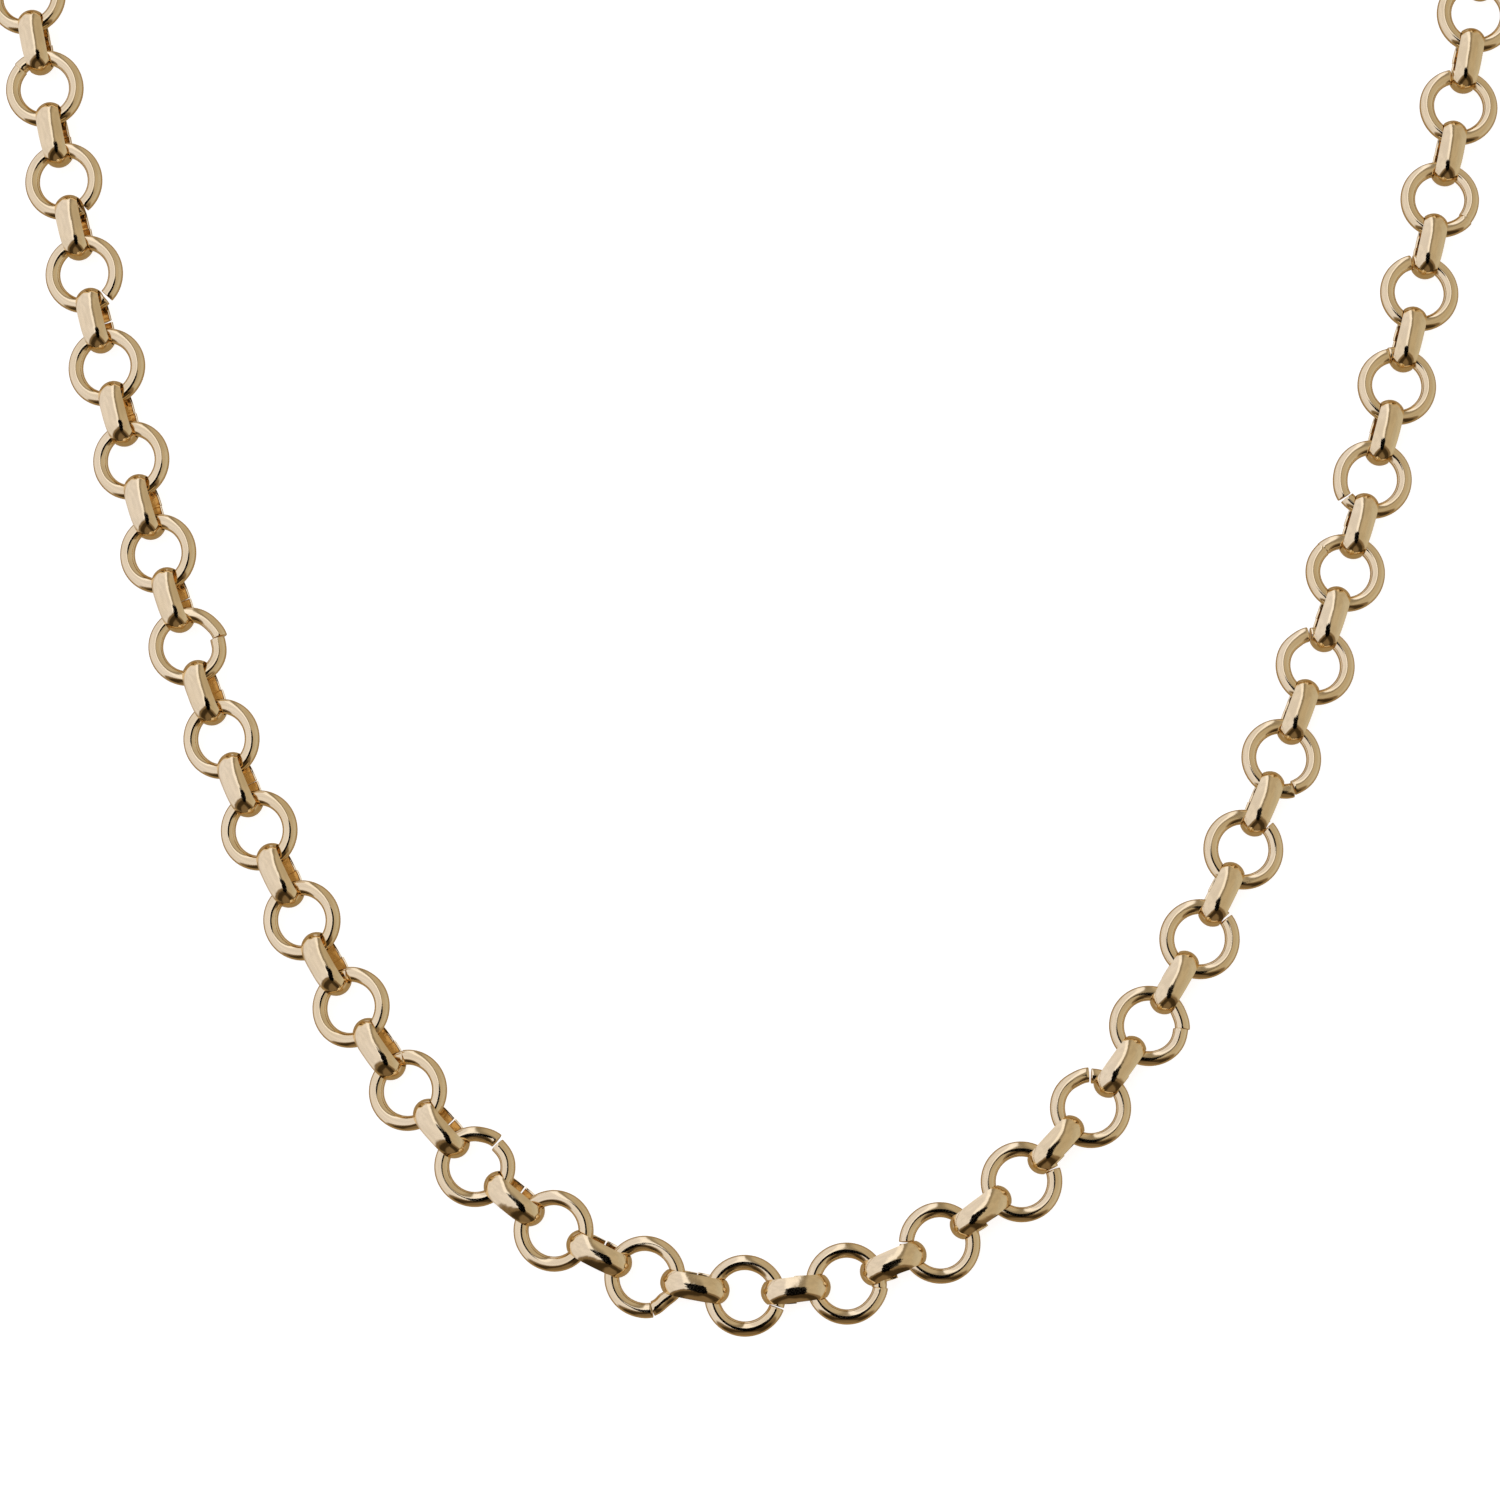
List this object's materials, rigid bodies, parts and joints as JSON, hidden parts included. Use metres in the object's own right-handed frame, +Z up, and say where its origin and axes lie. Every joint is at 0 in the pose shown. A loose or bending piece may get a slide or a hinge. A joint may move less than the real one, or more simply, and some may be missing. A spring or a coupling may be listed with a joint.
{
  "type": "chain necklace",
  "caption": "Chain necklace of round open-wire rings joined by domed strap connectors, laid in an open U, with a lobster clasp and a catch ring.",
  "frame": {"origin": "under the middle of the necklace's bounding box, on the surface it lies on", "axes": "+Z up out of the surface, +Y from the bottom of the U to its open end, +X from the clasp's side to the catch ring's side"},
  "size_m": [0.1778, 0.209, 0.0046],
  "materials": {
    "link_gold": "polished pale champagne-gold plate over brass, bright and mirror-like",
    "ring_gold": "round wire, polished pale champagne-gold plate",
    "connector_gold": "domed strap, polished pale champagne-gold plate",
    "clasp_gold": "cast clasp, polished pale champagne-gold plate",
    "spring_steel": "drawn steel spring wire"
  },
  "bodies": {
    "link_01": {"link_01": "link_gold"},
    "link_02": {"link_02": "link_gold"},
    "link_03": {"link_03": "link_gold"},
    "link_04": {"link_04": "link_gold"},
    "link_05": {"link_05": "link_gold"},
    "link_06": {"link_06": "link_gold"},
    "link_07": {"link_07": "link_gold"},
    "link_08": {"link_08": "link_gold"},
    "link_09": {"link_09": "link_gold"},
    "link_10": {"link_10": "link_gold"},
    "link_11": {"link_11": "link_gold"},
    "link_12": {"link_12": "link_gold"},
    "link_13": {"link_13": "link_gold"},
    "link_14": {"link_14": "link_gold"},
    "link_15": {"link_15": "link_gold"},
    "link_16": {"link_16": "link_gold"},
    "link_17": {"link_17": "link_gold"},
    "link_18": {"link_18": "link_gold"},
    "link_19": {"link_19": "link_gold"},
    "link_20": {"link_20": "link_gold"},
    "link_21": {"link_21": "link_gold"},
    "link_22": {"link_22": "link_gold"},
    "link_23": {"link_23": "link_gold"},
    "link_24": {"link_24": "link_gold"},
    "link_25": {"link_25": "link_gold"},
    "link_26": {"link_26": "link_gold"},
    "link_27": {"link_27": "link_gold"},
    "link_28": {"link_28": "link_gold"},
    "link_29": {"link_29": "link_gold"},
    "link_30": {"link_30": "link_gold"},
    "link_31": {"link_31": "link_gold"},
    "link_32": {"link_32": "link_gold"},
    "link_33": {"link_33": "link_gold"},
    "link_34": {"link_34": "link_gold"},
    "link_35": {"link_35": "link_gold"},
    "link_36": {"link_36": "link_gold"},
    "link_37": {"link_37": "link_gold"},
    "link_38": {"link_38": "link_gold"},
    "link_39": {"link_39": "link_gold"},
    "link_40": {"link_40": "link_gold"},
    "link_41": {"link_41": "link_gold"},
    "link_42": {"link_42": "link_gold"},
    "link_43": {"link_43": "link_gold"},
    "catch_ring": {"catch_ring": "ring_gold"},
    "end_connector": {"end_connector": "connector_gold"},
    "clasp_body": {"clasp_body": "clasp_gold", "clasp_pivot_pin": "clasp_gold", "clasp_spring": "spring_steel"},
    "clasp_lever": {"clasp_lever": "clasp_gold"}
  },
  "joints": [
    {"name": "fold_02", "type": "hinge", "parent": "link_02", "child": "link_01", "pos_m": [-0.08125, 0.07527, 0.00225], "axis": [0.9882, 0.1531, 0], "range_deg": [-90, 90]},
    {"name": "swing_03", "type": "hinge", "parent": "link_03", "child": "link_02", "pos_m": [-0.07914, 0.06214, 0.00225], "axis": [0, 0, -1], "range_deg": [-40, 40]},
    {"name": "fold_04", "type": "hinge", "parent": "link_04", "child": "link_03", "pos_m": [-0.07799, 0.05543, 0.00226], "axis": [-0.9852, -0.169, -0.0271], "range_deg": [-90, 90]},
    {"name": "swing_05", "type": "hinge", "parent": "link_05", "child": "link_04", "pos_m": [-0.07565, 0.04234, 0.00227], "axis": [-0.0534, -0.01, 0.9985], "range_deg": [-40, 40]},
    {"name": "fold_06", "type": "hinge", "parent": "link_06", "child": "link_05", "pos_m": [-0.07436, 0.03567, 0.00228], "axis": [0.9788, 0.1881, 0.0814], "range_deg": [-90, 90]},
    {"name": "swing_07", "type": "hinge", "parent": "link_07", "child": "link_06", "pos_m": [-0.07173, 0.02263, 0.00229], "axis": [0.106, 0.0224, -0.9941], "range_deg": [-40, 40]},
    {"name": "fold_08", "type": "hinge", "parent": "link_08", "child": "link_07", "pos_m": [-0.07028, 0.01598, 0.00229], "axis": [-0.968, -0.2115, -0.1353], "range_deg": [-90, 90]},
    {"name": "swing_09", "type": "hinge", "parent": "link_09", "child": "link_08", "pos_m": [-0.06729, 0.00303, 0.00229], "axis": [-0.1576, -0.0384, 0.9868], "range_deg": [-40, 40]},
    {"name": "fold_10", "type": "hinge", "parent": "link_10", "child": "link_09", "pos_m": [-0.06562, -0.00357, 0.00229], "axis": [0.952, 0.241, 0.1889], "range_deg": [-90, 90]},
    {"name": "swing_11", "type": "hinge", "parent": "link_11", "child": "link_10", "pos_m": [-0.06216, -0.01641, 0.00229], "axis": [0.2071, 0.0595, -0.9765], "range_deg": [-40, 40]},
    {"name": "fold_12", "type": "hinge", "parent": "link_12", "child": "link_11", "pos_m": [-0.0602, -0.02292, 0.00229], "axis": [-0.9291, -0.2796, -0.2419], "range_deg": [-90, 90]},
    {"name": "swing_13", "type": "hinge", "parent": "link_13", "child": "link_12", "pos_m": [-0.0561, -0.03557, 0.00229], "axis": [-0.2379, -0.0833, 0.9677], "range_deg": [-40, 40]},
    {"name": "fold_14", "type": "hinge", "parent": "link_14", "child": "link_13", "pos_m": [-0.05373, -0.04194, 0.00229], "axis": [0.9048, 0.3356, 0.2621], "range_deg": [-90, 90]},
    {"name": "swing_15", "type": "hinge", "parent": "link_15", "child": "link_14", "pos_m": [-0.04871, -0.05426, 0.00229], "axis": [0.2484, 0.1114, -0.9622], "range_deg": [-40, 40]},
    {"name": "fold_16", "type": "hinge", "parent": "link_16", "child": "link_15", "pos_m": [-0.04575, -0.06038, 0.00229], "axis": [-0.8638, -0.4174, -0.2822], "range_deg": [-90, 90]},
    {"name": "swing_17", "type": "hinge", "parent": "link_17", "child": "link_16", "pos_m": [-0.03937, -0.07203, 0.00228], "axis": [-0.2481, -0.1547, 0.9563], "range_deg": [-40, 40]},
    {"name": "fold_18", "type": "hinge", "parent": "link_18", "child": "link_17", "pos_m": [-0.0355, -0.07762, 0.00229], "axis": [0.7901, 0.5477, 0.2753], "range_deg": [-90, 90]},
    {"name": "swing_19", "type": "hinge", "parent": "link_19", "child": "link_18", "pos_m": [-0.02699, -0.08781, 0.00229], "axis": [0.1809, 0.1851, -0.9659], "range_deg": [-40, 40]},
    {"name": "fold_20", "type": "hinge", "parent": "link_20", "child": "link_19", "pos_m": [-0.02173, -0.0921, 0.00229], "axis": [-0.6138, -0.7518, -0.2408], "range_deg": [-90, 90]},
    {"name": "swing_21", "type": "hinge", "parent": "link_21", "child": "link_20", "pos_m": [-0.01026, -0.09867, 0.00229], "axis": [-0.0575, -0.1639, 0.9848], "range_deg": [-40, 40]},
    {"name": "fold_22", "type": "hinge", "parent": "link_22", "child": "link_21", "pos_m": [-0.00362, -0.09995, 0.00229], "axis": [0.1882, 0.9767, 0.1033], "range_deg": [-90, 90]},
    {"name": "swing_23", "type": "hinge", "parent": "link_22", "child": "link_23", "pos_m": [0.00951, -0.09939, 0.00226], "axis": [0.0093, -0.0336, 0.9994], "range_deg": [-40, 40]},
    {"name": "fold_24", "type": "hinge", "parent": "link_23", "child": "link_24", "pos_m": [0.01573, -0.09672, 0.00226], "axis": [-0.394, 0.9185, -0.0346], "range_deg": [-90, 90]},
    {"name": "swing_25", "type": "hinge", "parent": "link_24", "child": "link_25", "pos_m": [0.02678, -0.08947, 0.00226], "axis": [0.0146, -0.0162, -0.9998], "range_deg": [-40, 40]},
    {"name": "fold_26", "type": "hinge", "parent": "link_25", "child": "link_26", "pos_m": [0.03145, -0.08454, 0.00225], "axis": [0.7254, -0.6882, 0.0087], "range_deg": [-90, 90]},
    {"name": "swing_27", "type": "hinge", "parent": "link_26", "child": "link_27", "pos_m": [0.03962, -0.07407, 0.00225], "axis": [0.0037, -0.0024, 1], "range_deg": [-40, 40]},
    {"name": "fold_28", "type": "hinge", "parent": "link_27", "child": "link_28", "pos_m": [0.0431, -0.06823, 0.00226], "axis": [-0.8593, 0.5113, 0.0174], "range_deg": [-90, 90]},
    {"name": "swing_29", "type": "hinge", "parent": "link_28", "child": "link_29", "pos_m": [0.04926, -0.05646, 0.00226], "axis": [-0.0277, 0.0129, -0.9995], "range_deg": [-40, 40]},
    {"name": "fold_30", "type": "hinge", "parent": "link_29", "child": "link_30", "pos_m": [0.05196, -0.05022, 0.00227], "axis": [0.9167, -0.3973, -0.0436], "range_deg": [-90, 90]},
    {"name": "swing_31", "type": "hinge", "parent": "link_30", "child": "link_31", "pos_m": [0.05684, -0.03785, 0.00227], "axis": [0.0533, -0.0192, 0.9984], "range_deg": [-40, 40]},
    {"name": "fold_32", "type": "hinge", "parent": "link_31", "child": "link_32", "pos_m": [0.05903, -0.03141, 0.00228], "axis": [-0.9442, 0.3218, 0.0697], "range_deg": [-90, 90]},
    {"name": "swing_33", "type": "hinge", "parent": "link_32", "child": "link_33", "pos_m": [0.06304, -0.01873, 0.00227], "axis": [-0.0602, 0.0177, -0.998], "range_deg": [-40, 40]},
    {"name": "fold_34", "type": "hinge", "parent": "link_33", "child": "link_34", "pos_m": [0.06488, -0.01218, 0.00227], "axis": [0.9613, -0.27, -0.0558], "range_deg": [-90, 90]},
    {"name": "swing_35", "type": "hinge", "parent": "link_34", "child": "link_35", "pos_m": [0.06827, 0.00068, 0.00227], "axis": [0.0474, -0.0118, 0.9988], "range_deg": [-40, 40]},
    {"name": "fold_36", "type": "hinge", "parent": "link_35", "child": "link_36", "pos_m": [0.06985, 0.00729, 0.00227], "axis": [-0.9718, 0.2321, 0.0419], "range_deg": [-90, 90]},
    {"name": "swing_37", "type": "hinge", "parent": "link_36", "child": "link_37", "pos_m": [0.07278, 0.02026, 0.00226], "axis": [-0.0341, 0.0073, -0.9994], "range_deg": [-40, 40]},
    {"name": "fold_38", "type": "hinge", "parent": "link_37", "child": "link_38", "pos_m": [0.07417, 0.02692, 0.00226], "axis": [0.9787, -0.2033, -0.0279], "range_deg": [-90, 90]},
    {"name": "swing_39", "type": "hinge", "parent": "link_38", "child": "link_39", "pos_m": [0.07675, 0.03997, 0.00226], "axis": [0.0206, -0.0039, 0.9998], "range_deg": [-40, 40]},
    {"name": "fold_40", "type": "hinge", "parent": "link_39", "child": "link_40", "pos_m": [0.07798, 0.04665, 0.00226], "axis": [-0.9834, 0.1808, 0.014], "range_deg": [-90, 90]},
    {"name": "swing_41", "type": "hinge", "parent": "link_40", "child": "link_41", "pos_m": [0.08029, 0.05975, 0.00225], "axis": [-0.0069, 0.0012, -1], "range_deg": [-40, 40]},
    {"name": "fold_42", "type": "hinge", "parent": "link_41", "child": "link_42", "pos_m": [0.08139, 0.06646, 0.00225], "axis": [0.9867, -0.1627, 0], "range_deg": [-90, 90]},
    {"name": "swing_43", "type": "hinge", "parent": "link_42", "child": "link_43", "pos_m": [0.08348, 0.0796, 0.00225], "axis": [0, 0, 1], "range_deg": [-40, 40]},
    {"name": "fold_44", "type": "hinge", "parent": "link_43", "child": "catch_ring", "pos_m": [0.08449, 0.08632, 0.00225], "axis": [-0.989, 0.1478, 0], "range_deg": [-90, 90]},
    {"name": "fold_01", "type": "hinge", "parent": "link_01", "child": "end_connector", "pos_m": [-0.08278, 0.0852, 0.00225], "axis": [0.9888, 0.1495, 0], "range_deg": [-90, 90]},
    {"name": "clasp_swing", "type": "hinge", "parent": "end_connector", "child": "clasp_body", "pos_m": [-0.0836, 0.09064, 0.00225], "axis": [-0.0057, 0.038, 0.9993], "range_deg": [-40, 40]},
    {"name": "clasp_lever_open", "type": "hinge", "parent": "clasp_body", "child": "clasp_lever", "pos_m": [-0.0826, 0.09473, 0.0021], "axis": [-0.0057, 0.038, 0.9993], "range_deg": [0, 24], "stiffness_Nm_per_rad": 0.004, "springref_deg": -20.05}
  ]
}
